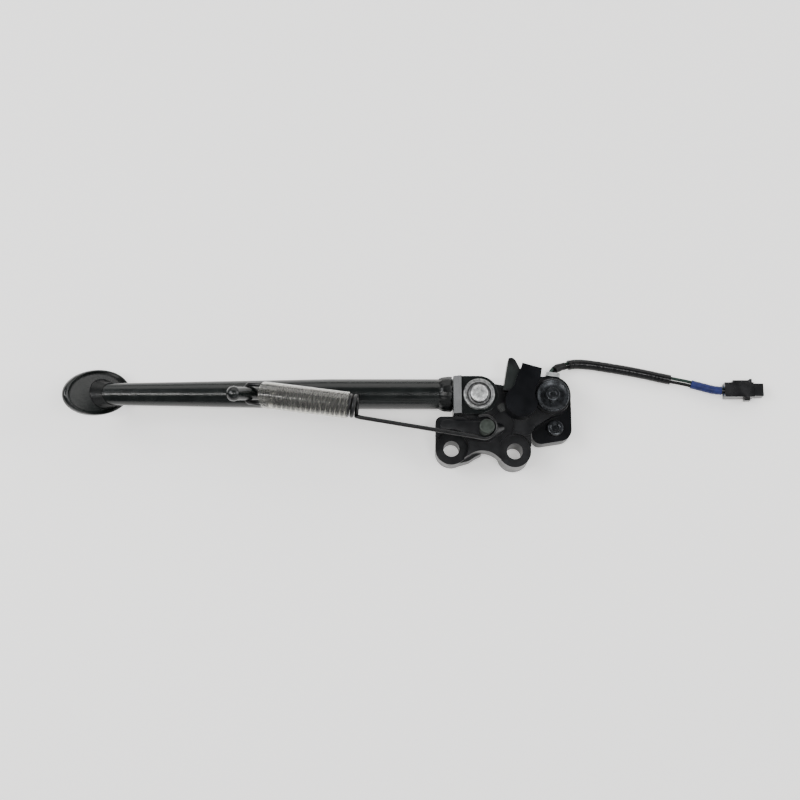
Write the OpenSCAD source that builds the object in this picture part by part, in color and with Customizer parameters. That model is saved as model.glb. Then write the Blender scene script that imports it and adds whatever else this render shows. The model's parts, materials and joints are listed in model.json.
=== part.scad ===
// Side stand for a motorcycle, lying free with its frame bosses and the low edge of its foot on the ground.
// Millimetres. The origin is on the frame side of the bracket, midway between the two frame bolts.
// +X points from the pivot away from the foot, +Y towards the leg, +Z from the frame outwards.

/* [Frame bolts] */
// Distance between the two frame bolts
bolt_pcd = 41.5; // [40:0.5:44]
// Tilt of the line through the frame bolts, in degrees
bolt_tilt = -3.6; // [-6:0.1:0]
// Diameter of each frame bolt hole
bolt_hole_d = 10.5; // [9:0.1:11]
// Radius of the lobe around each frame bolt
lobe_r = 10.6; // [10:0.1:11]

/* [Bracket] */
// Thickness of the bracket's plate
plate_t = 14; // [12:0.5:15]
// Height of the plate's outer face above the frame
plate_top = 24; // [23:0.5:25]
// Radius of the pivot lug
lug_r = 15.9; // [15:0.1:16.5]
// Radius of the switch boss at the end of the arm
boss_r = 12.2; // [11.5:0.1:13]

/* [Leg] */
// Distance from the pivot to the centre of the foot
leg_len = 250.8; // [230:0.2:290]
// Outer diameter of the leg tube at the clevis
tube_d_top = 20.1; // [18:0.1:21]
// Outer diameter of the leg tube at the foot
tube_d_foot = 14.2; // [13:0.1:17]
// Distance from the pivot to where the tube starts to taper
taper_reach = 100; // [60:1:140]
// Wall of the leg tube
tube_wall = 2.2; // [1.5:0.1:3]

/* [Foot] */
// Length of the oval foot plate
foot_len = 57.6; // [50:0.1:60]
// Width of the oval foot plate
foot_w = 30; // [26:0.5:36]
// Slope of the foot plate, in degrees
foot_slope = 55; // [50:1:60]
// Turn of the oval in the foot plate's own plane, in degrees
foot_turn = 15.6; // [0:0.1:20]
// Thickness of the foot plate
foot_t = 3; // [2.5:0.1:4]
// Height of the foot plate's raised rim
rim_h = 1.8; // [1:0.1:2.5]

/* [Pivot] */
// Diameter of the pivot bolt's shoulder
pivot_d = 12; // [11:0.1:13]
// Gap between the clevis ears and the lug
ear_gap = 0.3; // [0.2:0.05:0.4]
// Radial running clearance of the pivot
pivot_clear = 0.05; // [0.02:0.01:0.1]

/* [Spring] */
// Wire diameter of the return spring
wire_d = 2.8; // [2.4:0.1:3]
// Outer diameter of the spring's coil
coil_d = 15.8; // [15:0.1:16.2]
// Length of the coil at rest
coil_len = 55; // [48:0.5:58]
// Number of full turns in the coil
coil_turns = 17; // [14:1:17]
// Height of the spring's axis above the frame
spring_z = 39; // [38:0.1:40]
// Distance from the pivot to the spring's hook on the leg's post
post_reach = 148.65; // [145:0.05:155]

/* [Switch] */
// Travel of the switch's plunger over the full swing
plunger_travel = 3; // [2:0.1:3]
// Radius of the switch's plunger
plunger_r = 2; // [1.6:0.1:2.2]
// Radial clearance around the plunger
plunger_clear = 0.1; // [0.05:0.01:0.15]

/* [Hidden] */
$fn = 48;
seat_gap = 0.05;
body_gap = 0.3;

// Frame bolts
bolt_1 = -bolt_pcd / 2 * [cos(bolt_tilt), sin(bolt_tilt)];
bolt_2 = -bolt_1;
boss_z = plate_top - plate_t;
seat_z_1 = 15;
seat_z_2 = 20;
spot_extra = 0.4;

// Pivot
pivot = [-3, 34.3];
lug_z = 14;
ear_front_z = plate_top + ear_gap;
ear_front_top = 31;
ear_back_z = 7;
ear_back_top = lug_z - ear_gap;
ear_r = 12.6;
swing = 100;
cam_flat = 10;
cam_fall = 20;
block_near = 11.4;
block_far = 16.7;
block_step = 2.2;
bush_r = pivot_d / 2 + 2;
washer_r = 10;
nut_af = 17;
thread_r = 5;
nut_z = 1.2;
washer_z = 5.2;
shoulder_z = ear_back_z - body_gap;
flange_r = 10.5;
flange_z = ear_front_top + body_gap;
flange_t = 2.2;
head_r = 7.2;
head_top = 35.8;
seal_in = bush_r + 0.7;
seal_out = seal_in + 1.4;
seal_t = 1.1;

// Leg
tube_crown_z = 30.05;
tube_z = tube_crown_z - tube_d_top / 2;
tube_y = pivot[1] + 2.8;
tube_start = pivot[0] - block_far;
taper_x = pivot[0] - taper_reach;
foot_x = pivot[0] - leg_len;
foot_y = tube_y;
foot_reach = norm([foot_len * cos(foot_turn), foot_w * sin(foot_turn)]) / 2;
foot_z = foot_reach * sin(foot_slope) + foot_t * cos(foot_slope);
foot_rim_w = 3;
tube_end = foot_x - 20;
clevis_weld_len = 10.1;
clevis_weld_r = tube_d_top / 2 + 2.05;
weld_gap = 0.12;
leg_side = max(ear_r, tube_y - pivot[1] + clevis_weld_r);
foot_weld_h = 5;
foot_weld_r = 3.2;

// Spring
coil_r = (coil_d - wire_d) / 2;
wire_r = wire_d / 2;
spring_slope = -7.2;
post_neck_r = 4.4;
post_head_r = 4.95;
post_at = [pivot[0] - post_reach, 34.1, 35];
post_turn = [10, -45, 0];
post_above = 14;
post_below = 12.5;
post_root_h = 4;
post_hook_r = post_neck_r + wire_r + body_gap;
coil_start = [-136.5, 31.4];
pin_at = [1.2, 10.7];
pin_r = 4;
pin_head_r = 4.85;
pin_head_z = spring_z + wire_r + 0.6;
pin_top = pin_head_z + 2.2;
pin_hook_r = 7.2;
pin_hook_at = pin_at + [pin_r + body_gap + wire_r - pin_hook_r, 0.4];
tail_angle = 118;
wire_sides = 8;
steps_per_turn = 12;
sleeve_in_r = 8.2;
sleeve_out_r = 8.8;
sleeve_start = -9;
sleeve_len = 58;
sleeve_cut = 22;

// Switch
boss_at = [45.4, 34.7];
boss_top = 26;
arm_z = 15;
housing_z = 2.5;
housing_top = arm_z - seat_gap;
housing_wall = 2;
cover_t = 1.4;
cover_inset = 0.6;
plunger_z = 10.3;
plunger_tip = pivot[0] + ear_r + body_gap;
housing_left = 32.5;
chamber_right = 46;
boot_len = 5;
contact_x = 43.6;
guard_disc_at = [24.4, 29.3];
guard_disc_r = 10.5;
guard_t = 11;
screw_at = [47.7, 14.6];
cap_r = 5.25;
cap_h = 5.5;
clip_at = [47.6, 50.6];

// Lead, laid on the ground from the grommet to the connector
lead_route = [
    [47.6, 53.8, 9.4], [48.4, 55.6, 8.7], [51.6, 58.2, 6.6], [57, 60.3, 4.7],
    [64.5, 61.8, 3.6], [74, 61.2, 3.6],
    [85, 59.5, 3.6], [95, 57.8, 3.6], [105, 55.9, 3.6], [114, 54, 3.6], [122, 52.1, 3.8],
    [131, 50.2, 4], [139, 48.5, 4.2], [148, 46, 4.4], [157, 43.6, 4.7], [163.6, 43, 4.9]
];
route_steps = 3;
wire_lead_r = 1.1;
wire_lead_offset = 1.25;
cover_r = 3.5;
cover_bore = 2.6;
tape_r = 3;
tape_bore = 2.5;
boot_r = 2.95;
boot_bore = 2.5;
// First and last step of the route under the boot, the sleeve and the tape
boot_span = [4, 9];
cover_span = [10, 32];
tape_span = [37, 44];
plug_x = 163.6;
plug_y = 43;
plug_w = 9.9;
plug_h = 8.6;
plug_len = 19.5;
plug_z = 0.4;
plug_wall = 1.1;
plug_nose = 6.6;
plug_pitch = 4.2;
seal_r = 1.7;

// ---- Shared shapes ----

function unit(v) = v / norm(v);
function along(p, i) = unit(p[min(i + 1, len(p) - 1)] - p[max(i - 1, 0)]);
function square_to(n, t) = unit(n - (n * t) * t);

// Normals carried along a path without twisting
function normals(p, n0) = [
    for (i = 0, n = square_to(n0, along(p, 0)); i < len(p);
         i = i + 1, n = i < len(p) ? square_to(n, along(p, i)) : n) n
];

// A round tube, or a rod where bore is 0, swept along a path
module swept(p, r, bore, sides, n0) {
    n = normals(p, n0);
    radii = bore > 0 ? [r, bore] : [r];
    rings = [for (i = [0:len(p) - 1]) let (b = cross(along(p, i), n[i]))
        for (q = radii) for (k = [0:sides - 1])
            p[i] + q * (cos(360 * k / sides) * n[i] + sin(360 * k / sides) * b)];
    per = sides * len(radii);
    last = per * (len(p) - 1);
    outer = [for (i = [0:len(p) - 2]) for (k = [0:sides - 1])
        [i * per + k, i * per + (k + 1) % sides, (i + 1) * per + (k + 1) % sides, (i + 1) * per + k]];
    inner = bore == 0 ? [] : [for (i = [0:len(p) - 2]) for (k = [0:sides - 1])
        [i * per + sides + k, (i + 1) * per + sides + k,
         (i + 1) * per + sides + (k + 1) % sides, i * per + sides + (k + 1) % sides]];
    caps = bore == 0
        ? [[for (k = [sides - 1:-1:0]) k], [for (k = [0:sides - 1]) last + k]]
        : [for (k = [0:sides - 1]) for (e = [0, 1]) let (o = e * last, m = (k + 1) % sides)
            e == 0 ? [k, sides + k, sides + m, m] : [o + k, o + m, o + sides + m, o + sides + k]];
    quads = concat(outer, inner, bore == 0 ? [] : caps);
    polyhedron(points = rings, faces = concat(
        [for (f = quads) [f[2], f[1], f[0]]], [for (f = quads) [f[3], f[2], f[0]]],
        bore == 0 ? [for (f = caps) [for (j = [len(f) - 1:-1:0]) f[j]]] : []
    ));
}

// A Catmull-Rom curve through the points of a route
function knot(p, i) = p[max(0, min(len(p) - 1, i))];
function between(a, b, c, d, t) =
    0.5 * (2 * b + (c - a) * t + (2 * a - 5 * b + 4 * c - d) * t * t + (3 * b - a - 3 * c + d) * t * t * t);
function smooth(p, from, to, steps) = [
    for (i = [from:to - 1]) for (s = [0:steps - 1])
        between(knot(p, i - 1), knot(p, i), knot(p, i + 1), knot(p, i + 2), s / steps),
    p[to]
];
function shifted(p, d) = [for (i = [0:len(p) - 1]) let (t = along(p, i)) p[i] + d * unit([-t[1], t[0], 0])];

module at(p, z = 0) {
    translate([p[0], p[1], z]) children();
}

module disc(p, r, z0, z1) {
    at(p, z0) cylinder(r = r, h = z1 - z0);
}

// Places children in the foot plate's own frame, its upper face at z = 0
module in_foot_frame() {
    translate([foot_x, foot_y, foot_z]) rotate([0, foot_slope, 0]) children();
}

// Everything on the tube's side of the foot plate's upper face
module above_foot(extra = 0) {
    in_foot_frame() translate([-350, -60, extra]) cube([700, 120, 400]);
}

function tube_r(x) = x > taper_x ? tube_d_top / 2
    : (tube_d_top + (tube_d_foot - tube_d_top) * (taper_x - x) / (taper_x - foot_x)) / 2;

// The tube's outside, or its bore, between two places along the leg
module along_tube(from, to, extra = 0, bore = false) {
    grow = bore ? extra - tube_wall : extra;
    stops = from > taper_x && to < taper_x ? [from, taper_x, to] : [from, to];
    translate([from, tube_y, tube_z]) rotate([0, -90, 0]) rotate_extrude() polygon([
        [0, 0], for (x = stops) [tube_r(x) + grow, from - x], [0, from - to]
    ]);
}

// ---- Leg ----

module leg_tube() {
    color("#1b1c1c") intersection() {
        difference() {
            along_tube(tube_start - seat_gap, tube_end);
            along_tube(tube_start + 1, tube_end - 1, bore = true);
        }
        above_foot(seat_gap);
    }
}

// An ear outline: a strip from the block to a round end about the pivot
module ear_outline() {
    circle(r = ear_r);
    translate([-block_near - 1, -ear_r]) square([block_near + 1, 2 * ear_r]);
}

// The rear ear's edge is a cam that rises evenly over the swing and pushes the plunger
function cam_r(a) =
    let (rise = plunger_travel / swing * a)
    a < 0 || a > swing + cam_flat + cam_fall ? ear_r
    : a < swing ? ear_r + rise
    : a < swing + cam_flat ? ear_r + plunger_travel
    : ear_r + plunger_travel * (1 - (a - swing - cam_flat) / cam_fall);

module cam_outline() {
    polygon([for (a = [-20:2.5:swing + cam_flat + cam_fall + 5]) cam_r(a) * [cos(a), sin(a)], [-1, 0]]);
}

module clevis() {
    color("#1b1c1c") at(pivot) difference() {
        union() {
            translate([0, 0, ear_front_z]) linear_extrude(ear_front_top - ear_front_z) ear_outline();
            translate([0, 0, ear_back_z]) linear_extrude(ear_back_top - ear_back_z) {
                ear_outline();
                cam_outline();
            }
            rotate([90, 0, 0]) translate([0, 0, -ear_r]) linear_extrude(2 * ear_r) polygon([
                [-block_far, ear_back_z], [-block_near, ear_back_z],
                [-block_near, ear_front_top + block_step], [-block_far, ear_front_top]
            ]);
        }
        translate([0, 0, ear_back_z - 1])
            cylinder(r = pivot_d / 2 + pivot_clear, h = ear_front_top - ear_back_z + 2);
    }
}

module clevis_weld() {
    color("#151616") difference() {
        translate([tube_start - seat_gap, tube_y, tube_z]) rotate([0, -90, 0]) rotate_extrude()
            polygon([
                [0, 0], [clevis_weld_r - 0.3, 0], [clevis_weld_r, 1], [clevis_weld_r, 5],
                [clevis_weld_r - 0.6, 8], [tube_r(tube_start) + 0.1, clevis_weld_len], [0, clevis_weld_len]
            ]);
        along_tube(tube_start + 5, tube_start - 20, extra = seat_gap);
    }
}

// The oval lies askew to the slope
module foot_oval(grow, z0, z1) {
    translate([0, 0, z0]) rotate(foot_turn) linear_extrude(z1 - z0) polygon([
        for (a = [0:7.5:352.5]) [(foot_len / 2 + grow) * cos(a), (foot_w / 2 + grow) * sin(a)]
    ]);
}

module foot_plate() {
    color("#1b1c1c") in_foot_frame() difference() {
        foot_oval(0, -foot_t, rim_h);
        foot_oval(-foot_rim_w, 0, rim_h + 1);
    }
}

module foot_weld() {
    color("#151616") difference() {
        intersection() {
            along_tube(foot_x + 40, tube_end - 10, extra = foot_weld_r);
            above_foot(seat_gap);
            in_foot_frame() translate([-60, -60, 0]) cube([120, 120, foot_weld_h]);
        }
        along_tube(foot_x + 50, tube_end - 20, extra = weld_gap);
        in_foot_frame() difference() {
            translate([-60, -60, -5]) cube([120, 120, 20]);
            foot_oval(-foot_rim_w - seat_gap, -6, 16);
        }
    }
}

// Places children in the post's own frame, with the spring's hook in the plane z = 0
module in_post_frame() {
    translate(post_at) rotate(post_turn) children();
}

// A stout pin that leans towards the foot, with a domed head over the spring's hook
module spring_post() {
    color("#1b1c1c") difference() {
        in_post_frame() {
            translate([0, 0, -post_below]) cylinder(r1 = post_neck_r + 1, r2 = post_neck_r, h = post_root_h);
            translate([0, 0, -post_below]) cylinder(r = post_neck_r, h = post_below + post_above);
            translate([0, 0, post_above]) intersection() {
                sphere(r = post_head_r);
                translate([-6, -6, -2]) cube([12, 12, 8]);
            }
        }
        along_tube(post_at[0] + 40, post_at[0] - 40, extra = weld_gap);
    }
}

// ---- Bracket ----

// The shelf's top edge is the rest stop for the clevis
shelf_y = pivot[1] - ear_r - body_gap;
left_x = bolt_1[0] - lobe_r;
valley_at = [-0.8, -15.8];
valley_r = 14.5;
shelf_corner = 4;
plate_step = 1.2;
shelf_top = plate_top - plate_step;
ridge_top = plate_top + 4.5;
finger_top = 30;

// Outward direction at which the line that touches both a lobe and the valley leaves the lobe
function touch(lobe, side) =
    let (d = valley_at - lobe, a = atan2(d[1], d[0]) + side * acos(min(1, (lobe_r + valley_r) / norm(d))))
    [cos(a), sin(a)];
touch_1 = touch(bolt_1, -1);
touch_2 = touch(bolt_2, 1);

// Lower half of the plate between the two lobes: a shelf along the top and a hollow below
module base_outline() {
    difference() {
        polygon([
            [left_x, bolt_1[1]], [left_x, shelf_y - shelf_corner], [left_x + shelf_corner, shelf_y],
            [20, shelf_y], [28, 13], [31.2, 9.6], [bolt_2[0] + lobe_r, bolt_2[1]],
            bolt_2 + lobe_r * touch_2, valley_at - valley_r * touch_2,
            valley_at - valley_r * touch_1, bolt_1 + lobe_r * touch_1
        ]);
        translate(valley_at) circle(r = valley_r);
    }
}

// A web behind the plate, from the first lobe to the head of the valley
module web_outline() {
    polygon([
        bolt_1 + lobe_r * [cos(62), -sin(62)], bolt_1 + [11.6, -7.6], bolt_1 + [15.6, -4.9],
        bolt_1 + [20, -2.7], bolt_1 + [18, 3], bolt_1
    ]);
}

// The arm from the pivot lug to the switch boss
module arm_outline() {
    polygon([
        [-10, shelf_y - 4], [20, 5], [31.3, 9.6], [32.2, 12], [34.5, 14.8], [39.7, 18.2], [44, 20.6],
        [48.5, 22.9], boss_at, [43, 46.6], [25, 50], [12, 42], [9.6, 43.2], pivot
    ]);
}

// The arm's raised face, which starts at a curved step beside the ridge
module raised_outline() {
    polygon([
        [15.3, 24.5], [18.6, 21.5], [20.4, 18], [19.8, 13.2], [18.6, 9], [24, 7.2], [31.3, 9.6], [32.2, 12],
        [34.5, 14.8], [39.7, 18.2], [44, 20.6], [48.5, 22.9], boss_at, [43, 46.6], [25, 50], [12, 42], pivot
    ]);
}

// The finger that stops the leg at the end of its swing
finger_tip = [18.5, 56.4];
finger_tip_r = 3.1;
module finger_outline() {
    polygon([
        [9.6, 38], [9.6, 43.2], [12.5, 44.8], [15.5, 57.3], finger_tip, [21.4, 57.8], [25, 50.5], [25, 36]
    ]);
}

// The area that the clevis sweeps outside a radius, from rest to the end of the swing
module swing_room(near) {
    reach = block_far + clevis_weld_len + 2;
    difference() {
        union() {
            for (a = [0, -swing]) rotate(a) translate([-reach, -ear_r - body_gap])
                square([reach - near + (near > 0 ? 0.5 : 0), ear_r + leg_side + 2 * body_gap]);
            polygon([[0, 0], for (a = [180 - swing:10:180]) reach * [cos(a), sin(a)]]);
        }
        if (near > 0) circle(r = near);
    }
}

module bracket() {
    color("#161819") difference() {
        union() {
            translate([0, 0, boss_z]) linear_extrude(shelf_top - boss_z) base_outline();
            disc([left_x + shelf_corner, shelf_y - shelf_corner], shelf_corner, boss_z, shelf_top);
            linear_extrude(boss_z + 2) web_outline();
            for (b = [bolt_1, bolt_2]) disc(b, lobe_r, 0, plate_top - 0.5);
            translate([0, 0, arm_z]) linear_extrude(shelf_top - arm_z) arm_outline();
            translate([0, 0, arm_z]) linear_extrude(plate_top - arm_z) raised_outline();
            disc(pivot, lug_r, lug_z, plate_top);
            translate([0, 0, arm_z]) linear_extrude(finger_top - arm_z) finger_outline();
            disc(finger_tip, finger_tip_r, arm_z, finger_top);
            disc(boss_at, boss_r, arm_z, boss_top);
            // Raised ridge that carries the spring pin
            hull() {
                disc([left_x + 7, shelf_y - 6], 4, shelf_top - 1, plate_top + 0.6);
                disc(pin_at, 6.6, shelf_top - 1, ridge_top);
                disc(pin_at + [9.5, 2.5], 3, shelf_top - 1, plate_top + 1);
            }
        }
        // Room for the clevis over its swing, and for the rear ear behind the lug
        at(pivot, boss_z - 1) linear_extrude(60) swing_room(block_near - body_gap);
        at(pivot, plate_top) linear_extrude(60) swing_room(0);
        disc(pivot, ear_r + body_gap, plate_top, 60);
        disc(pivot, ear_r + plunger_travel + body_gap + 0.3, boss_z - 1, lug_z);
        disc(pivot, bush_r + seat_gap, -1, 60);
        for (z = [lug_z - 1, plate_top - seal_t]) at(pivot, z) difference() {
            cylinder(r = seal_out + seat_gap, h = seal_t + 1);
            translate([0, 0, -1]) cylinder(r = seal_in - seat_gap, h = seal_t + 3);
        }
        // Frame bolt holes with their spot faces
        for (b = [bolt_1, bolt_2]) disc(b, bolt_hole_d / 2, -1, 60);
        disc(bolt_1, lobe_r + spot_extra, seat_z_1, 60);
        disc(bolt_2, lobe_r + spot_extra, seat_z_2, 60);
        disc(pin_at, pin_r - 0.5 + seat_gap, -1, 60);
        disc(boss_at, 3 + seat_gap, -1, 60);
    }
}

module spring_pin() {
    color("#2a2e2c") at(pin_at) {
        translate([0, 0, boss_z + 1]) cylinder(r = pin_r - 0.5, h = ridge_top + 0.5 - boss_z - 1);
        translate([0, 0, ridge_top + seat_gap]) cylinder(r = pin_r, h = pin_head_z - ridge_top);
        translate([0, 0, pin_head_z]) cylinder(r = pin_head_r, h = pin_top - pin_head_z - 0.5);
        translate([0, 0, pin_top - 0.5]) cylinder(r1 = pin_head_r, r2 = pin_head_r - 0.5, h = 0.5);
    }
}

// ---- Pivot ----

module pivot_bolt() {
    color("#b9bcbb") at(pivot) difference() {
        union() {
            translate([0, 0, nut_z - 1]) cylinder(r = thread_r - seat_gap, h = shoulder_z - nut_z + 2);
            translate([0, 0, shoulder_z]) cylinder(r = pivot_d / 2, h = flange_z - shoulder_z + 1);
            translate([0, 0, flange_z]) cylinder(r = flange_r, h = flange_t - 0.5);
            translate([0, 0, flange_z + flange_t - 0.5])
                cylinder(r1 = flange_r, r2 = flange_r - 1.4, h = 0.5);
            translate([0, 0, flange_z + 1]) cylinder(r = head_r, h = head_top - flange_z - 1.6);
            translate([0, 0, head_top - 0.6]) cylinder(r1 = head_r, r2 = head_r - 0.8, h = 0.6);
        }
        translate([0, 0, head_top - 0.7]) cylinder(r = head_r - 1.6, h = 2);
    }
}

module pivot_nut() {
    color("#9a9d9c") at(pivot) difference() {
        translate([0, 0, nut_z]) cylinder(r = nut_af / sqrt(3), h = washer_z - nut_z - seat_gap, $fn = 6);
        cylinder(r = thread_r, h = 20);
    }
}

module pivot_washer() {
    color("#b9bcbb") at(pivot) difference() {
        translate([0, 0, washer_z]) cylinder(r = washer_r, h = shoulder_z - washer_z - seat_gap);
        cylinder(r = thread_r, h = 20);
    }
}

module pivot_bush() {
    color("#8a7a4a") at(pivot) difference() {
        translate([0, 0, lug_z]) cylinder(r = bush_r, h = plate_top - lug_z);
        cylinder(r = pivot_d / 2 + seat_gap, h = 60);
    }
}

module pivot_seals() {
    for (z = [lug_z - 0.15, plate_top + 0.15 - seal_t]) color("#202020") at(pivot, z) difference() {
        cylinder(r = seal_out, h = seal_t);
        translate([0, 0, -1]) cylinder(r = seal_in, h = seal_t + 2);
    }
}

// ---- Side-stand switch ----

module housing_outline(less = 0) {
    hull() {
        for (c = [[housing_left + 6, 10.5, 6], [51, 14.5, 8], [47, 38.5, 12], [housing_left + 7, 43.3, 7]])
            translate([c[0], c[1]]) circle(r = c[2] - less, $fn = 32);
    }
}

module switch_housing() {
    color("#17181a") difference() {
        translate([0, 0, housing_z]) linear_extrude(housing_top - housing_z) housing_outline();
        // Chamber, open to the back
        translate([housing_left + 1.2, pivot[1] - 8, 0]) cube([chamber_right - housing_left, 16, 12.4]);
        // Guide for the plunger
        translate([housing_left - 12, pivot[1], plunger_z]) rotate([0, 90, 0])
            cylinder(r = plunger_r + plunger_clear, h = 20);
        disc(boss_at + [7.5, 0], 1.6, -1, 4);
        disc(screw_at, 2.5 + seat_gap, 4, 60);
        translate([clip_at[0] - 3.2 - seat_gap, 40.6, 6 - seat_gap])
            cube([6.4 + 2 * seat_gap, 16, 5.6 + 2 * seat_gap]);
        disc(boss_at, 2.5 + seat_gap, 12.5, 60);
    }
}

module switch_cover() {
    color("#101112") translate([0, 0, housing_z - cover_t - seat_gap])
        linear_extrude(cover_t) housing_outline(cover_inset);
}

module switch_contacts() {
    color("#b08d4a") for (y = [-4.6, 4.6])
        translate([contact_x + plunger_travel - 0.6, pivot[1] + y - 1.2, plunger_z - 3.6])
            cube([1.2, 2.4, 5.6]);
}

module plunger_boot() {
    color("#202224") translate([housing_left - boot_len, pivot[1], plunger_z]) rotate([0, 90, 0])
    difference() {
        union() {
            for (k = [0, 1]) translate([0, 0, 2.1 * k]) {
                cylinder(r1 = 2.9, r2 = 3.8, h = 1.1);
                translate([0, 0, 1.1]) cylinder(r1 = 3.8, r2 = 2.9, h = 1);
            }
            translate([0, 0, 4.2]) cylinder(r = 3.4, h = boot_len - 4.2 - seat_gap);
        }
        translate([0, 0, -1]) cylinder(r = plunger_r + plunger_clear, h = 20);
    }
}

module switch_plunger() {
    color("#c9c7bd") translate([0, pivot[1], plunger_z]) rotate([0, 90, 0]) {
        translate([0, 0, plunger_tip]) cylinder(r1 = plunger_r - 0.7, r2 = plunger_r, h = 0.7);
        translate([0, 0, plunger_tip + 0.7]) cylinder(r = plunger_r, h = contact_x - 3.4 - plunger_tip);
    }
}

module contact_bridge() {
    color("#b08d4a") translate([contact_x - 2.65, pivot[1] - 6, plunger_z - 1.5]) cube([1, 12, 3]);
}

module plunger_spring() {
    turns = 4;
    from = contact_x - 1.2;
    to = chamber_right + 0.6;
    r = 1.7;
    path = [for (i = [0:turns * 8]) let (a = 45 * i)
        [from + (to - from) * i / (turns * 8), pivot[1] + r * cos(a), plunger_z + r * sin(a)]];
    color("#c8ccd0") swept(path, 0.25, 0, 6, [1, 0, 0]);
}

// The moulded cover over the front of the switch arm
module switch_guard() {
    color("#15181c") difference() {
        union() {
            translate([0, 0, plate_top + seat_gap]) linear_extrude(guard_t - seat_gap) {
                translate(guard_disc_at) circle(r = guard_disc_r);
                polygon([
                    [25.2, 53.4], [37.9, 49.8], [36.4, 40.8], [34.2, 33], [15, 33], [19.5, 39], [22.2, 47]
                ]);
            }
            translate([0, 0, plate_top + guard_t - 3]) linear_extrude(1.6)
                polygon([[25, 53.2], [25.5, 55.2], [38.4, 51.5], [37.9, 49.6]]);
        }
        disc(boss_at, boss_r + seat_gap, 0, 60);
        translate([0, 0, 10]) linear_extrude(20 + seat_gap) finger_clear();
    }
}

module finger_clear() {
    intersection() {
        union() {
            offset(delta = seat_gap) finger_outline();
            translate(finger_tip) circle(r = finger_tip_r + seat_gap);
        }
        translate([-50, 35]) square([100, 100]);
    }
}

module dished_washer() {
    color("#202325") at(boss_at, boss_top + seat_gap) rotate_extrude() polygon([
        [3.2, 0], [11.1, 0], [11.1, 1.6], [10.2, 2], [7.4, 1.2], [5.2, 1], [3.2, 1]
    ]);
}

module boss_screw() {
    color("#1d1f20") at(boss_at) difference() {
        union() {
            translate([0, 0, boss_top + 1 + 2 * seat_gap]) cylinder(r = 4.6, h = 3.4);
            translate([0, 0, boss_top + 4.4 + 2 * seat_gap]) cylinder(r1 = 4.6, r2 = 3.4, h = 0.8);
            translate([0, 0, 13]) cylinder(r = 2.45, h = boss_top + 1 - 12);
        }
        translate([0, 0, boss_top + 3]) cylinder(r = 2.2, h = 6, $fn = 6);
    }
}

module housing_screw() {
    color("#1d1f20") at(screw_at) difference() {
        union() {
            translate([0, 0, housing_top + seat_gap]) cylinder(r = cap_r, h = cap_h - 0.6);
            translate([0, 0, housing_top + seat_gap + cap_h - 0.6])
                cylinder(r1 = cap_r, r2 = cap_r - 0.6, h = 0.6);
            translate([0, 0, 4.5]) cylinder(r = 2.5, h = 11);
        }
        translate([0, 0, housing_top + cap_h - 3]) cylinder(r = 2.9, h = 6, $fn = 6);
    }
}

// ---- Lead ----

module lead_clip() {
    color("#c4c6c4") at(clip_at) rotate([0, 0, -8]) difference() {
        translate([-4.8, 0.2, 3.6]) cube([9.6, 2.8, 10.4]);
        translate([-3.4, -1, 4.8]) cube([6.8, 6, 8]);
    }
}

module lead_grommet() {
    color("#141516") difference() {
        union() {
            at([clip_at[0], 44.4]) translate([-3.2, 0, 6]) cube([6.4, 6.2, 5.6]);
            at([clip_at[0], 50.6]) translate([-3, 0, 6.2]) cube([6, 3, 5.2]);
        }
        for (s = [-1, 1]) translate([lead_route[0][0] + s * wire_lead_offset, 49, lead_route[0][2]])
            rotate([-90, 0, 0]) cylinder(r = wire_lead_r + 0.08, h = 10);
    }
}

route = smooth(lead_route, 0, len(lead_route) - 1, route_steps);

function lead_part(span) = [for (i = [span[0]:span[1]]) route[i]];

module lead_wire(side) {
    swept(shifted(route, side * wire_lead_offset), wire_lead_r, 0, 8, [0, 0, 1]);
}

module lead_wire_black() {
    color("#161616") lead_wire(-1);
}

module lead_wire_green() {
    color("#1f3324") lead_wire(1);
}

module lead_boot() {
    color("#141414") swept(lead_part(boot_span), boot_r, boot_bore, 12, [0, 0, 1]);
}

module lead_sleeve() {
    color("#141414") swept(lead_part(cover_span), cover_r, cover_bore, 12, [0, 0, 1]);
}

module lead_tape() {
    color("#1d3a70") swept(lead_part(tape_span), tape_r, tape_bore, 12, [0, 0, 1]);
}

// ---- Connector ----

module connector_housing() {
    color("#161718") difference() {
        union() {
            translate([plug_x, plug_y - plug_w / 2, plug_z]) cube([plug_len, plug_w, plug_h]);
            translate([plug_x + 13.5, plug_y - plug_w / 2 - 1.8, plug_z + 1]) cube([4, 1.9, 4]);
        }
        translate([plug_x + 5, plug_y - plug_w / 2 + plug_wall, plug_z + plug_wall])
            cube([plug_len, plug_w - 2 * plug_wall, plug_h - 2 * plug_wall]);
        for (s = [-1, 1]) translate([plug_x - 1, plug_y + s * plug_pitch / 2, plug_z + plug_h / 2])
            rotate([0, 90, 0]) cylinder(r = seal_r + seat_gap, h = 10);
    }
}

module connector_retainer() {
    color("#161718") difference() {
        translate([plug_x + plug_len + seat_gap, plug_y - 4.4, plug_z + 0.6])
            cube([plug_nose, 8.8, plug_h - 1.2]);
        translate([plug_x + plug_len - 1, plug_y - 3, plug_z + 1.9]) cube([plug_nose + 3, 6, plug_h - 3.8]);
    }
}

module connector_seals() {
    color("#3a6aa0") for (s = [-1, 1])
        translate([plug_x + 0.4, plug_y + s * plug_pitch / 2, plug_z + plug_h / 2]) rotate([0, 90, 0])
            difference() {
                cylinder(r = seal_r, h = 4);
                translate([0, 0, -1]) cylinder(r = seal_r - 0.6, h = 8);
            }
}

module connector_terminals() {
    color("#b9a26a") for (s = [-1, 1])
        translate([plug_x + 4.6, plug_y + s * plug_pitch / 2 - 0.6, plug_z + plug_h / 2 - 0.6])
            cube([15, 1.2, 1.2]);
}

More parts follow.
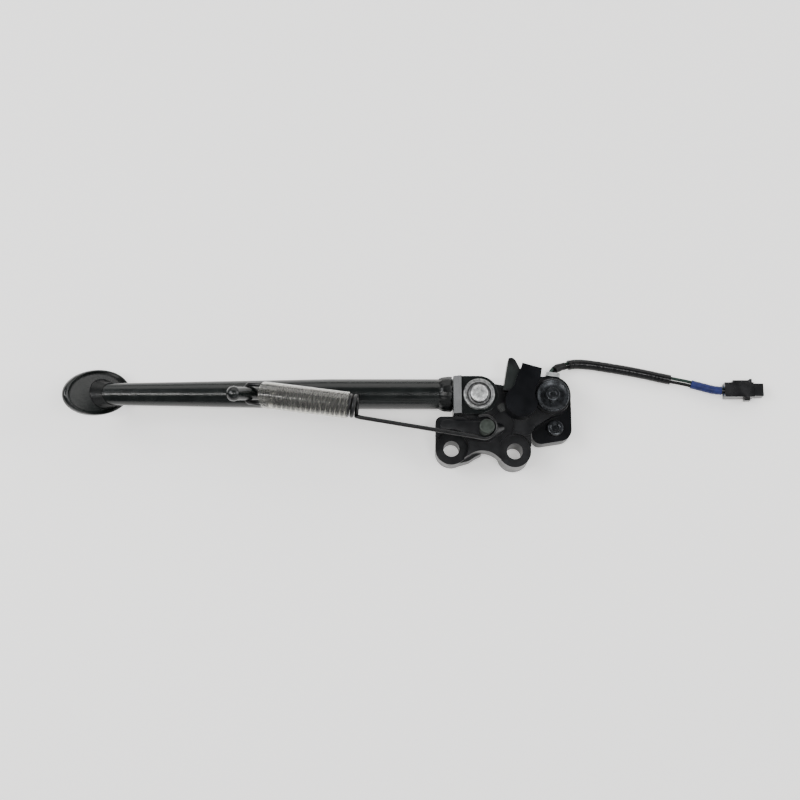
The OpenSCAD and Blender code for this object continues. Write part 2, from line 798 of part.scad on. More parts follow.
module connector_lock() {
    color("#161718") translate([plug_x + 6, plug_y + plug_w / 2 + seat_gap, plug_z + 2]) {
        cube([12.8, 2, 4.6]);
        translate([11, -0.01, -0.6]) cube([1.8, 2.8, 5.8]);
    }
}

// ---- Return spring ----

// Spring axes in the plane: along the coil towards the pin, and across it
function spring_at(a, b, c) =
    [coil_start[0], coil_start[1], spring_z]
    + a * [cos(spring_slope), sin(spring_slope), 0]
    + b * [-sin(spring_slope), cos(spring_slope), 0] + [0, 0, c];

// The post's own axes, across it and along the leg's side
post_u = [cos(post_turn[1]), 0, -sin(post_turn[1])];
post_v = [sin(post_turn[0]) * sin(post_turn[1]), cos(post_turn[0]), sin(post_turn[0]) * cos(post_turn[1])];

post_hook = [
    spring_at(-0.6 - wire_r, -coil_r, 0), spring_at(-8, -coil_r + 0.2, -0.2),
    for (a = [270:-15:90]) post_at + post_hook_r * (cos(a) * post_u + sin(a) * post_v),
    spring_at(-8, coil_r - 0.2, -0.2), spring_at(-2.5, coil_r, 0)
];
coil_path = [for (i = [0:coil_turns * steps_per_turn + steps_per_turn / 2]) let (a = 360 * i / steps_per_turn)
    spring_at(coil_len * i / ((coil_turns + 0.5) * steps_per_turn), coil_r * cos(a), -coil_r * sin(a))];
rod_start = spring_at(coil_len + 2.6, -coil_r - 0.4, -0.2);
pin_hook = [for (a = [-100:14:tail_angle])
    [pin_hook_at[0] + pin_hook_r * cos(a), pin_hook_at[1] + pin_hook_r * sin(a), spring_z]];

module return_spring() {
    wire = concat(post_hook, coil_path, [rod_start], pin_hook);
    color("#171819") swept(wire, wire_r, 0, wire_sides, [0, 0, 1]);
}

module spring_sleeve() {
    color([0.9, 0.92, 0.92, 0.35]) translate(spring_at(sleeve_start, 0, 0)) rotate([0, 90, spring_slope])
        difference() {
            cylinder(r = sleeve_out_r, h = sleeve_len);
            translate([0, 0, -1]) cylinder(r = sleeve_in_r, h = sleeve_len + 2);
            // The mouth is cut at a slant, so its upper lip reaches over the post
            translate([-sleeve_out_r, 0, 0]) rotate([0, -sleeve_cut, 0])
                translate([-5, -20, -20]) cube([40, 40, 20]);
        }
}

leg_tube();
clevis();
clevis_weld();
foot_plate();
foot_weld();
spring_post();
bracket();
spring_pin();
pivot_bolt();
pivot_nut();
pivot_washer();
pivot_bush();
pivot_seals();
switch_housing();
switch_cover();
switch_contacts();
plunger_boot();
switch_guard();
dished_washer();
boss_screw();
housing_screw();
lead_clip();
lead_grommet();
switch_plunger();
contact_bridge();
plunger_spring();
return_spring();
spring_sleeve();
lead_wire_black();
lead_wire_green();
lead_boot();
lead_sleeve();
lead_tape();
connector_housing();
connector_retainer();
connector_seals();
connector_terminals();
connector_lock();
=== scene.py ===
# %% [markdown]
# # A motorcycle side stand
# The stand is a steel leg that turns on a forged bracket. A long spring holds it at either end of its
# swing, and a switch on the bracket tells the engine whether it is down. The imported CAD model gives
# every size and every joint, so this lesson only adds looks: rounded edges, weld beads, worn zinc,
# textured paint, clear vinyl and a taped lead. Everything is in metres, in the model's own frame.

# %% The frame
import json
import math
import bpy
import bmesh
from mathutils import Matrix, Vector, noise


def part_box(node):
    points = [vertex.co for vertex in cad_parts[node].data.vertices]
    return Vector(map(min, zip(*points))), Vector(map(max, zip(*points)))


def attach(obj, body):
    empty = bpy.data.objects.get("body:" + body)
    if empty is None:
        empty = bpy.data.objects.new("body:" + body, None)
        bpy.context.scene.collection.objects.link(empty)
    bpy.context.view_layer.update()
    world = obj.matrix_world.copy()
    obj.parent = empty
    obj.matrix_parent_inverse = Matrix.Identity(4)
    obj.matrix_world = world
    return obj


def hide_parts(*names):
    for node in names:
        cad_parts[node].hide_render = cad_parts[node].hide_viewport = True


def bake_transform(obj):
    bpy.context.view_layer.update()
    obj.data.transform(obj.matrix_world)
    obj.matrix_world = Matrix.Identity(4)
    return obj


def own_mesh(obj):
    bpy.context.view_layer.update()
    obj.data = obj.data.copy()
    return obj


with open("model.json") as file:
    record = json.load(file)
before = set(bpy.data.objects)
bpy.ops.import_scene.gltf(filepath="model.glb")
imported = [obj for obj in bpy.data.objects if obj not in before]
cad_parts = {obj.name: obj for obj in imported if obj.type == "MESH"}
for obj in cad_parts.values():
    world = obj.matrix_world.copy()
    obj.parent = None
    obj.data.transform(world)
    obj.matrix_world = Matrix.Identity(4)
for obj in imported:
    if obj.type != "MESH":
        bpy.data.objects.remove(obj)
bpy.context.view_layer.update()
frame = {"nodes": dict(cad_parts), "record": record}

MM = 0.001


# %% [markdown]
# ## Camera
# The view is framed before anything else. It looks almost straight down, so the camera stands on the
# near side and tips 77 degrees below the horizon. A long lens keeps the leg from bowing.

# %% Camera
CAMERA_AIM = Vector((-54.6, 32.7, 22)) * MM
CAMERA_DISTANCE = 0.85
CAMERA_ELEVATION = math.radians(77)
CAMERA_LENS = 58

camera_data = bpy.data.cameras.new("camera")
camera_data.lens = CAMERA_LENS
camera_data.clip_start = 0.01
camera = bpy.data.objects.new("camera", camera_data)
bpy.context.scene.collection.objects.link(camera)
back = Vector((0, -math.cos(CAMERA_ELEVATION), math.sin(CAMERA_ELEVATION)))
camera.location = CAMERA_AIM + back * CAMERA_DISTANCE
camera.rotation_euler = (-back).to_track_quat("-Z", "Y").to_euler()
bpy.context.scene.camera = camera
print("camera at, mm:", [round(c / MM) for c in camera.location])

# %% [markdown]
# ## Floor and light
# Black parts are drawn by what they reflect. A pale floor lights them from below, and soft boxes kept
# low at the sides light the floor without showing in the flat tops. One narrow strip overhead, on the
# foot's side, draws the long line along the crest of the tube, and a small box above the bracket
# sends light down through the bolt holes.

# %% Floor and light
FLOOR_HALF = 3
FLOOR_DROP = 0.0002


def node_material(name):
    material = bpy.data.materials.new(name)
    material.use_nodes = True
    nodes = material.node_tree.nodes
    return material, nodes, material.node_tree.links, nodes["Principled BSDF"]


def soft_box(name, place, aim, width, depth, power, colour=(1, 1, 1)):
    data = bpy.data.lights.new(name, "AREA")
    data.shape = "RECTANGLE"
    data.size = width
    data.size_y = depth
    data.energy = power
    data.color = colour
    lamp = bpy.data.objects.new(name, data)
    lamp.location = place
    lamp.rotation_euler = (Vector(aim) - Vector(place)).to_track_quat("-Z", "Y").to_euler()
    bpy.context.scene.collection.objects.link(lamp)


floor_mesh = bpy.data.meshes.new("floor")
floor_bm = bmesh.new()
bmesh.ops.create_grid(floor_bm, x_segments=1, y_segments=1, size=FLOOR_HALF)
floor_bm.to_mesh(floor_mesh)
floor_bm.free()
floor = bpy.data.objects.new("floor", floor_mesh)
floor.location.z = -FLOOR_DROP
bpy.context.scene.collection.objects.link(floor)
floor_paint, _, _, floor_shader = node_material("floor_paint")
floor_shader.inputs["Base Color"].default_value = (0.90, 0.89, 0.875, 1)
floor_shader.inputs["Roughness"].default_value = 0.55
floor_shader.inputs["Emission Color"].default_value = (1.0, 0.99, 0.975, 1)
floor_shader.inputs["Emission Strength"].default_value = 0.50
floor_mesh.materials.append(floor_paint)

STAND_AIM = (-0.05, 0.03, 0.02)
STRIP_AIM = (-0.78, 0.03, 0.02)
WARM, COOL = (1.0, 0.99, 0.97), (0.97, 0.98, 1.0)
soft_box("strip_crest", (-0.78, -0.22, 1.35), STRIP_AIM, 0.90, 0.07, 9, WARM)
soft_box("box_over_holes", (0.30, -0.22, 1.30), (0.0, 0.0, 0.0), 0.30, 0.30, 4.5)
soft_box("box_behind", (0.10, 1.50, 0.90), STAND_AIM, 2.4, 1.2, 18, WARM)
soft_box("box_left", (-1.20, 0.32, 1.20), STAND_AIM, 0.8, 0.8, 17, COOL)
soft_box("box_right", (1.5, 0.3, 0.9), STAND_AIM, 1.2, 1.2, 22)
soft_box("box_fill", (0.6, -1.5, 0.9), STAND_AIM, 2.0, 1.2, 8)
world = bpy.data.worlds.new("studio")
world.use_nodes = True
sky = world.node_tree.nodes["Background"]
sky.inputs["Color"].default_value = (0.93, 0.96, 1.0, 1)
sky.inputs["Strength"].default_value = 0.22
bpy.context.scene.world = world

# %% [markdown]
# ## Finishes
# A painted surface is never one flat colour. Each finish here is a Principled shader whose colour,
# roughness and bump come from noise in Object coordinates, so the pattern has a real size in metres
# and stays put when a part turns. A fine noise is the paint's grain, and a broad one is its wear.
# The two edge finishes are shinier, and their paler colour is a painted highlight along the rounded
# edges. The patch helper lets a paler colour through in a ragged spot: a painted highlight in one small
# spot on the bracket, and a greener tone of the paint in a broad one.

# %% Finishes
DARKER, PALER = 0.72, 1.3


def finish(name, colour, metal, gloss, grain=1, tint=14, bump=0.00004, shine=0.3):
    """gloss is (lowest, highest) roughness; grain and tint size the fine and broad noise, in mm."""
    material, nodes, links, shader = node_material(name)
    shader.inputs["Metallic"].default_value = metal
    shader.inputs["Specular IOR Level"].default_value = shine
    place = nodes.new("ShaderNodeTexCoord")
    broad = nodes.new("ShaderNodeTexNoise")
    broad.inputs["Scale"].default_value = 1 / (tint * MM)
    broad.inputs["Detail"].default_value = 4
    links.new(place.outputs["Object"], broad.inputs["Vector"])
    ramp = nodes.new("ShaderNodeValToRGB")
    ramp.color_ramp.elements[0].position = 0.35
    ramp.color_ramp.elements[1].position = 0.70
    ramp.color_ramp.elements[0].color = [c * DARKER for c in colour] + [1]
    ramp.color_ramp.elements[1].color = [min(1, c * PALER) for c in colour] + [1]
    links.new(broad.outputs["Fac"], ramp.inputs["Fac"])
    links.new(ramp.outputs["Color"], shader.inputs["Base Color"])
    rough = nodes.new("ShaderNodeMapRange")
    rough.inputs["From Min"].default_value = 0.3
    rough.inputs["From Max"].default_value = 0.7
    rough.inputs["To Min"].default_value = gloss[0]
    rough.inputs["To Max"].default_value = gloss[1]
    links.new(broad.outputs["Fac"], rough.inputs["Value"])
    links.new(rough.outputs["Result"], shader.inputs["Roughness"])
    fine = nodes.new("ShaderNodeTexNoise")
    fine.inputs["Scale"].default_value = 1 / (grain * MM)
    fine.inputs["Detail"].default_value = 3
    links.new(place.outputs["Object"], fine.inputs["Vector"])
    relief = nodes.new("ShaderNodeBump")
    relief.inputs["Strength"].default_value = 0.6
    relief.inputs["Distance"].default_value = bump
    links.new(fine.outputs["Fac"], relief.inputs["Height"])
    links.new(relief.outputs["Normal"], shader.inputs["Normal"])
    return material


def tone_and_highlight_patch(material, centre, reach, colour):
    """Lets another colour through the finish in a ragged spot, as paint tone and as painted highlight:
    centre and reach in mm.
    """
    nodes, links = material.node_tree.nodes, material.node_tree.links
    shader = nodes["Principled BSDF"]
    under = shader.inputs["Base Color"].links[0].from_socket
    place = nodes.new("ShaderNodeTexCoord")
    away = nodes.new("ShaderNodeVectorMath")
    away.operation = "DISTANCE"
    away.inputs[1].default_value = [c * MM for c in centre]
    ragged = nodes.new("ShaderNodeTexNoise")
    ragged.inputs["Scale"].default_value = 1 / (1.5 * MM)
    spread = nodes.new("ShaderNodeMath")
    spread.operation = "MULTIPLY_ADD"
    spread.inputs[1].default_value = reach * MM
    edge = nodes.new("ShaderNodeMapRange")
    edge.inputs["From Min"].default_value = reach * 1.45 * MM
    edge.inputs["From Max"].default_value = reach * 1.30 * MM
    blend = nodes.new("ShaderNodeMix")
    blend.data_type = "RGBA"
    blend.inputs[7].default_value = (*colour, 1)
    links.new(place.outputs["Object"], away.inputs[0])
    links.new(place.outputs["Object"], ragged.inputs["Vector"])
    links.new(ragged.outputs["Fac"], spread.inputs[0])
    links.new(away.outputs["Value"], spread.inputs[2])
    links.new(spread.outputs["Value"], edge.inputs["Value"])
    links.new(edge.outputs["Result"], blend.inputs["Factor"])
    links.new(under, blend.inputs[6])
    links.new(blend.outputs[2], shader.inputs["Base Color"])


leg_paint = finish("leg_paint", (0.0034, 0.0048, 0.0044), 0.0, (0.17, 0.28), grain=1.0, tint=9,
                   bump=0.00016, shine=0.40)
weld_paint = finish("weld_paint", (0.0035, 0.004, 0.004), 0.0, (0.24, 0.42), grain=1.3, tint=3,
                    bump=0.00016, shine=0.28)
cast_paint = finish("cast_paint", (0.0040, 0.0042, 0.0050), 0.0, (0.28, 0.42), grain=0.7, tint=7,
                    bump=0.00007)
pin_plate = finish("pin_plate", (0.035, 0.042, 0.036), 0.55, (0.36, 0.52), grain=0.6, tint=3)
wire_paint = finish("wire_paint", (0.003, 0.003, 0.0035), 0.0, (0.26, 0.40), grain=0.5, tint=5,
                    shine=0.35)
moulded = finish("moulded", (0.0020, 0.0023, 0.0032), 0.0, (0.28, 0.40), grain=0.35, tint=10,
                 bump=0.00003, shine=0.14)
oxide = finish("oxide", (0.030, 0.032, 0.035), 0.8, (0.20, 0.34), grain=0.5, tint=2)
rubber = finish("rubber", (0.003, 0.003, 0.003), 0.0, (0.36, 0.52), grain=0.6, tint=5, shine=0.18)
vinyl_black = finish("vinyl_black", (0.0025, 0.0025, 0.0030), 0.0, (0.20, 0.32), grain=1.2, tint=6,
                     bump=0.00010, shine=0.25)
tape_blue = finish("tape_blue", (0.006, 0.012, 0.085), 0.0, (0.36, 0.50), grain=0.8, tint=3,
                   bump=0.00006)
nylon_black = finish("nylon_black", (0.0045, 0.0045, 0.0050), 0.0, (0.20, 0.32), grain=0.5, tint=6,
                     bump=0.00002, shine=0.5)
green_wire = finish("green_wire", (0.004, 0.018, 0.011), 0.0, (0.30, 0.45), grain=0.6, tint=4)
clip_metal = finish("clip_metal", (0.62, 0.63, 0.62), 0.9, (0.25, 0.42), grain=0.4, tint=2)
zinc = finish("zinc", (0.50, 0.51, 0.50), 1.0, (0.28, 0.45), grain=0.4, tint=2)
brass = finish("brass", (0.60, 0.42, 0.18), 1.0, (0.25, 0.40), grain=0.5, tint=3)
seal_blue = finish("seal_blue", (0.05, 0.14, 0.35), 0.0, (0.5, 0.6), grain=0.6, tint=4)
nylon_pale = finish("nylon_pale", (0.55, 0.53, 0.46), 0.0, (0.4, 0.5), grain=0.6, tint=6)
# Paler than the paint they sit on: a painted highlight along the rounded edges, and shinier too.
cast_edge_highlight = finish("cast_edge_highlight", (0.030, 0.031, 0.032), 0.2, (0.16, 0.30), grain=0.9, tint=5,
                   shine=0.5)
leg_edge_highlight = finish("leg_edge_highlight", (0.022, 0.025, 0.024), 0.2, (0.16, 0.30), grain=0.9, tint=5,
                  shine=0.5)
# The small pale spot beside the pivot is a painted highlight; the broad greener one is a tone of the
# paint.
tone_and_highlight_patch(cast_paint, (12.4, 27.4, 24), 3.2, (0.055, 0.058, 0.056))
tone_and_highlight_patch(cast_paint, (15.5, 46.0, 29), 9.5, (0.0105, 0.0135, 0.0125))
print("finishes:", len(bpy.data.materials))

# %% [markdown]
# ## Shop helpers
# Four tools make nearly every piece. `stand_for` rides an object on a CAD body in place of a CAD node,
# and `adopt` does so with a bmesh. `lathe` spins a profile, as a lathe turns a bolt. `eased` takes a
# copy of a CAD solid and rounds its sharp edges, as a forging or a moulding has them, because an edge
# with no radius catches no light.

# %% Shop helpers
CAD_MERGE, OWN_MERGE = 2e-6, 1e-6
FLAT_ANGLE, HARD_ANGLE = math.radians(0.6), math.radians(28)


def body_of_node(node):
    return next(b for b, names in frame["record"]["behaviour"]["bodies"].items() if node in names)


def stand_for(piece, body, node):
    """Rides a piece on a body, in place of one CAD node, which it hides."""
    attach(piece, body)
    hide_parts(node)


def adopt(name, bm, body, material, node, sharp=40, weighted=False):
    """Makes a bmesh the object that stands for a CAD node; sharp is the crease angle in degrees."""
    mesh = bpy.data.meshes.new(name)
    bm.to_mesh(mesh)
    bm.free()
    mesh.shade_smooth()
    mesh.set_sharp_from_angle(angle=math.radians(sharp))
    piece = bpy.data.objects.new(name, mesh)
    bpy.context.scene.collection.objects.link(piece)
    mesh.materials.append(material)
    if weighted:
        piece.modifiers.new("even_shading", "WEIGHTED_NORMAL").keep_sharp = True
    stand_for(piece, body, node)
    return piece


def only(kind, geometry):
    return [g for g in geometry if isinstance(g, kind)]


def lathe(profile, centre=(0, 0, 0), steps=64):
    """Spins (radius, height) points in mm about a vertical line through centre, in metres."""
    bm = bmesh.new()
    verts = [bm.verts.new((r * MM, 0, z * MM)) for r, z in profile]
    edges = [bm.edges.new(pair) for pair in zip(verts, verts[1:])]
    bmesh.ops.spin(bm, geom=verts + edges, cent=(0, 0, 0), axis=(0, 0, 1), angle=2 * math.pi,
                   steps=steps, use_merge=True, use_duplicate=False)
    bmesh.ops.remove_doubles(bm, verts=bm.verts, dist=OWN_MERGE)
    bmesh.ops.recalc_face_normals(bm, faces=bm.faces)
    bmesh.ops.translate(bm, verts=bm.verts, vec=centre)
    return bm


def eased(node, width, material, segments=3, edge=None):
    """A copy of a CAD node, edges rounded to width in mm; edge, if given, paints a highlight on the
    rounds.
    """
    bm = bmesh.new()
    bm.from_mesh(frame["nodes"][node].data)
    bmesh.ops.remove_doubles(bm, verts=bm.verts, dist=CAD_MERGE)
    bmesh.ops.dissolve_limit(bm, angle_limit=FLAT_ANGLE, verts=bm.verts, edges=bm.edges)
    hard = [e for e in bm.edges if e.is_manifold and e.calc_face_angle(0) > HARD_ANGLE]
    bmesh.ops.bevel(bm, geom=hard, offset=width * MM, offset_type="OFFSET", affect="EDGES",
                    segments=segments, profile=0.5, material=1 if edge else -1, clamp_overlap=True,
                    loop_slide=True)
    bmesh.ops.remove_doubles(bm, verts=bm.verts, dist=OWN_MERGE)
    piece = adopt(node + "_shell", bm, body_of_node(node), material, node, sharp=35, weighted=True)
    if edge:
        piece.data.materials.append(edge)
    print(f"{piece.name}: {len(hard)} hard edges, {len(piece.data.polygons)} faces")
    return piece


# %% [markdown]
# ## The lead
# The switch's lead is short: two wires leave the grommet, run through a black vinyl sleeve, show
# again for a finger's width, and vanish under blue tape before the connector. It lies flat on the
# surface. A cord is easiest as a curve with a round bevel, because its own line is then its length.

# %% The lead's route
LEAD_ROUTE = [
    (47.6, 53.8, 9.4), (48.4, 55.6, 8.7), (51.6, 58.2, 6.6), (57, 60.3, 4.7), (64.5, 61.8, 3.6),
    (74, 61.2, 3.6), (85, 59.5, 3.6), (95, 57.8, 3.6), (105, 55.9, 3.6), (114, 54, 3.6),
    (122, 52.1, 3.8), (131, 50.2, 4), (139, 48.5, 4.2), (148, 46, 4.4), (157, 43.6, 4.7),
    (163.6, 43, 4.9),
]
ROUTE_STEPS, FINE_STEPS = 3, 24
BOOT_SPAN, BOOT_RADIUS = (4, 9), 2.95
COVER_SPAN, COVER_RADIUS = (10, 32), 3.5
TAPE_SPAN, TAPE_RADIUS = (37, 44), 3.0
TAPE_TURNS = 5.2
WIRE_RADIUS = 1.1
WIRE_OFFSET = 1.25


def smooth_route(points, steps):
    """A Catmull-Rom curve through the route's points."""
    made = []
    last = len(points) - 1
    for i in range(last):
        a, b, c, d = [Vector(points[min(max(k, 0), last)]) for k in (i - 1, i, i + 1, i + 2)]
        for s in range(steps):
            t = s / steps
            made.append(0.5 * (2 * b + (c - a) * t + (2 * a - 5 * b + 4 * c - d) * t * t
                               + (3 * b - a - 3 * c + d) * t ** 3))
    made.append(Vector(points[last]))
    return made


def beside(line, distance):
    """The same line, moved sideways on the level."""
    made = []
    for i, p in enumerate(line):
        t = line[min(i + 1, len(line) - 1)] - line[max(i - 1, 0)]
        made.append(p + Vector((-t.y, t.x, 0)).normalized() * distance)
    return made


def cord_curve(name, line, radius, material, thickness=None, sides=5):
    """A round cord along a line in mm; thickness(share of the way) scales its radius."""
    data = bpy.data.curves.new(name, "CURVE")
    data.dimensions = "3D"
    data.bevel_depth = radius * MM
    data.bevel_resolution = sides
    data.use_fill_caps = True
    spline = data.splines.new("POLY")
    spline.points.add(len(line) - 1)
    for i, (point, place) in enumerate(zip(spline.points, line)):
        point.co = (*(place * MM), 1)
        point.radius = thickness(i / (len(line) - 1)) if thickness else 1
    data.materials.append(material)
    piece = bpy.data.objects.new(name, data)
    bpy.context.scene.collection.objects.link(piece)
    return piece


def line_length(line):
    return sum((b - a).length for a, b in zip(line, line[1:])) * MM


def lead_part(span):
    """The stretch of the route between two of the centre line's points, drawn finer."""
    fine = smooth_route(LEAD_ROUTE, FINE_STEPS)
    finer = FINE_STEPS // ROUTE_STEPS
    return fine[span[0] * finer:span[1] * finer + 1]


centre_line = smooth_route(LEAD_ROUTE, ROUTE_STEPS)
print(f"lead, mm: {line_length(centre_line) / MM:.1f}")

# %% The wires, sleeve and tape
for node, side, coat in (("lead_wire_black", -1, rubber), ("lead_wire_green", 1, green_wire)):
    wire_line = beside(centre_line, side * WIRE_OFFSET)
    wire = cord_curve(node + "_run", wire_line, WIRE_RADIUS, coat)
    stand_for(wire, "bracket", node)


def wrinkled(share):
    """Vinyl pulled over two wires is never quite even."""
    return 0.965 + 0.03 * noise.noise(Vector((share * 37, 0.3, 0)))


def wrapped(share):
    """Tape laid on in overlapping turns: each turn starts thick and ends thin."""
    return 0.93 + 0.06 * (1 - (share * TAPE_TURNS) % 1)


def swollen(share):
    """The boot bulges where it was pushed over the wires."""
    return 0.86 + 0.12 * math.sin(math.pi * min(1, share * 1.25)) ** 2


lead_boot = cord_curve("lead_boot_skin", lead_part(BOOT_SPAN), BOOT_RADIUS, rubber, swollen)
lead_cover = cord_curve("lead_sleeve_skin", lead_part(COVER_SPAN), COVER_RADIUS, vinyl_black,
                        wrinkled)
lead_wrap = cord_curve("lead_tape_wrap", lead_part(TAPE_SPAN), TAPE_RADIUS, tape_blue, wrapped)
for piece, node in ((lead_boot, "lead_boot"), (lead_cover, "lead_sleeve"), (lead_wrap, "lead_tape")):
    stand_for(piece, "bracket", node)

# %% [markdown]
# ## The connector
# A sealed two-way connector: a long body with a lock lever on its side, a nose piece, and a seal
# round each wire. Moulded nylon has crisp edges with a small radius.

# %% The connector
connector = [
    eased("connector_housing", 0.35, nylon_black),
    eased("connector_retainer", 0.4, nylon_black),
    eased("connector_lock", 0.3, nylon_black),
]
for node, coat in (("connector_seals", seal_blue), ("connector_terminals", brass)):
    connector.append(eased(node, 0.12, coat, segments=2))

# %% [markdown]
# ## Leg tube
# The leg is a round tube, parallel at first and then drawn down towards the foot. A profile spun about
# its own axis gives both parts at once, and bisecting it on the foot plate's plane mitres its end.

# %% Leg tube
TUBE_Y, TUBE_Z = 37.1, 20.0
TUBE_START_X, TAPER_X = -19.7, -103.0
TUBE_START_R, TUBE_FOOT_R = 10.05, 7.1
FOOT_X, FOOT_Y = -253.8, 37.1
FOOT_LENGTH, FOOT_WIDTH = 57.6, 30.0
FOOT_THICK = 3
TAPER_EASE = (4, 5)
TUBE_END_GAP = 0.1
MITRE_GAP = 0.0001
FOOT_SLOPE, FOOT_TURN = math.radians(55), math.radians(15.6)
FOOT_REACH = math.hypot(FOOT_LENGTH * math.cos(FOOT_TURN), FOOT_WIDTH * math.sin(FOOT_TURN)) / 2
FOOT_Z = FOOT_REACH * math.sin(FOOT_SLOPE) + FOOT_THICK * math.cos(FOOT_SLOPE)
foot_centre = Vector((FOOT_X, FOOT_Y, FOOT_Z)) * MM
foot_tilt = Matrix.Rotation(FOOT_SLOPE, 4, "Y")
foot_normal = foot_tilt @ Vector((0, 0, 1))
tube_start = Vector((TUBE_START_X - TUBE_END_GAP, TUBE_Y, TUBE_Z)) * MM
tube_frame = Matrix.Translation(tube_start) @ Matrix.Rotation(-math.pi / 2, 4, "Y")


def tube_radius(x):
    """The tube is parallel as far as the taper and then narrows evenly to the foot."""
    share = max(0, (TAPER_X - x) / (TAPER_X - FOOT_X))
    return TUBE_START_R + (TUBE_FOOT_R - TUBE_START_R) * share


tube_stops = [TUBE_START_X - TUBE_END_GAP, TAPER_X + TAPER_EASE[0], TAPER_X - TAPER_EASE[1], FOOT_X - 20]
tube_profile = [(tube_radius(x), tube_stops[0] - x) for x in tube_stops]
tube_profile = [(0, 0)] + tube_profile + [(0, tube_stops[0] - tube_stops[-1])]
tube_bm = lathe(tube_profile, steps=96)
bmesh.ops.transform(tube_bm, verts=tube_bm.verts, matrix=tube_frame)
whole_tube = tube_bm.verts[:] + tube_bm.edges[:] + tube_bm.faces[:]
cut = bmesh.ops.bisect_plane(tube_bm, geom=whole_tube, dist=1e-7, clear_inner=True,
                             plane_co=foot_centre + foot_normal * MITRE_GAP, plane_no=foot_normal)
bmesh.ops.holes_fill(tube_bm, edges=only(bmesh.types.BMEdge, cut["geom_cut"]))
leg_tube = adopt("leg_tube_skin", tube_bm, "leg", leg_paint, "leg_tube")
print("leg tube faces:", len(leg_tube.data.polygons))

# %% [markdown]
# ## Weld beads
# A weld is a row of frozen puddles that run into each other. A ring whose radius ripples a little gives
# the puddles, and a stronger noise gives the lumpy skin and the uneven toe. At the foot the ring is
# leant over, because the tube meets the plate at a slant.

# %% Weld beads
PUDDLE_LEAN = 0.35 / 4
LUMPS_PER_MM = 0.55


def bead(profile, puddles, ripple, roughness, seed, steps=180):
    """A ring about the Z axis with (radius, height) profile points in mm, rippled and roughened."""
    bm = lathe(profile, steps=steps)
    centre_r = sum(r for r, _ in profile) / len(profile) * MM
    centre_z = sum(z for _, z in profile) / len(profile) * MM
    for v in bm.verts:
        angle = math.atan2(v.co.y, v.co.x)
        radial = Vector((math.cos(angle), math.sin(angle), 0))
        out = v.co - radial * centre_r - Vector((0, 0, centre_z))
        lean = PUDDLE_LEAN * (v.co.z - centre_z) / MM
        wave = abs(math.sin(puddles * angle / 2 + lean)) ** 0.5
        rough = noise.noise(v.co / MM * LUMPS_PER_MM + Vector((seed, 0, 0)))
        v.co += out.normalized() * (ripple * (wave - 1) + roughness * (rough - 0.5)) * MM
    return bm


bead_bm = bead([(10.2, 0), (11.5, 0.3), (11.95, 1.4), (12.0, 3.2), (11.8, 5.4), (11.3, 7.4), (10.5, 9.0),
                (9.9, 9.6), (9.5, 6), (9.5, 2), (10.2, 0)],
               puddles=9, ripple=0.15, roughness=0.9, seed=3.0)
bmesh.ops.transform(bead_bm, verts=bead_bm.verts, matrix=tube_frame)
adopt("clevis_weld_bead", bead_bm, "leg", weld_paint, "clevis_weld", sharp=80)

foot_bead_bm = bead([(7.0, 0.2), (10.2, 0.15), (10.0, 0.7), (9.2, 1.6), (8.5, 2.8), (7.9, 4.2),
                     (7.5, 4.8), (6.8, 2.6), (7.0, 0.2)],
                    puddles=6, ripple=0.05, roughness=0.25, seed=8.0, steps=140)
# The ring leans over until its foot lies in the plate.
for v in foot_bead_bm.verts:
    v.co.x = v.co.x / math.sin(FOOT_SLOPE) + v.co.z / math.tan(FOOT_SLOPE)
tube_meets_foot = Vector((FOOT_X - (TUBE_Z - FOOT_Z) / math.tan(FOOT_SLOPE), TUBE_Y, TUBE_Z)) * MM
bmesh.ops.transform(foot_bead_bm, verts=foot_bead_bm.verts,
                    matrix=Matrix.Translation(tube_meets_foot) @ foot_tilt)
adopt("foot_weld_bead", foot_bead_bm, "leg", weld_paint, "foot_weld", sharp=80)

# %% [markdown]
# ## Foot plate
# The foot is a pressed oval dish. Its floor is slightly sunk, its wall turns up and its lip is
# rounded. A profile spun round and then squeezed across makes the oval in one go.

# %% Foot plate
half = FOOT_LENGTH / 2
foot_profile = [(0, 0.0), (half - 6.5, 0.0), (half - 4.4, 0.15), (half - 3.4, 0.7), (half - 2.7, 1.45),
                (half - 1.9, 1.8), (half - 0.8, 1.7), (half - 0.1, 1.0), (half, 0.0), (half - 0.1, -1.8),
                (half - 0.8, -2.7), (half - 2, -FOOT_THICK), (0, -FOOT_THICK)]
foot_bm = lathe(foot_profile, steps=96)
bmesh.ops.scale(foot_bm, verts=foot_bm.verts, vec=(1, FOOT_WIDTH / FOOT_LENGTH, 1))
foot_frame = Matrix.Translation(foot_centre) @ foot_tilt @ Matrix.Rotation(FOOT_TURN, 4, "Z")
bmesh.ops.transform(foot_bm, verts=foot_bm.verts, matrix=foot_frame)
adopt("foot_dish", foot_bm, "leg", leg_paint, "foot_plate", sharp=50)

# %% [markdown]
# ## Clevis, bracket and the other solids
# These are forged or moulded blocks, and the CAD solids already have their shape. They only need the
# radius that a die leaves on every edge, so each is an eased copy. The rounded edges of the clevis and
# the bracket are paler and shinier: the paler colour is a painted highlight.

# %% Clevis and bracket
eased("clevis", 0.9, leg_paint, edge=leg_edge_highlight)
eased("bracket", 0.8, cast_paint, edge=cast_edge_highlight)
eased("switch_housing", 0.7, moulded)
eased("switch_cover", 0.3, moulded, segments=2)
eased("switch_guard", 0.7, moulded)
eased("lead_clip", 0.25, clip_metal, segments=2)
eased("lead_grommet", 0.4, rubber)
eased("pivot_nut", 0.3, zinc, segments=2)
eased("pivot_washer", 0.25, zinc, segments=2)

# %% [markdown]
# ## Spring post
# The post is a stout pin that leans towards the foot. Its head is a dome, a little wider than the
# shank, so the spring's hook can't ride up.

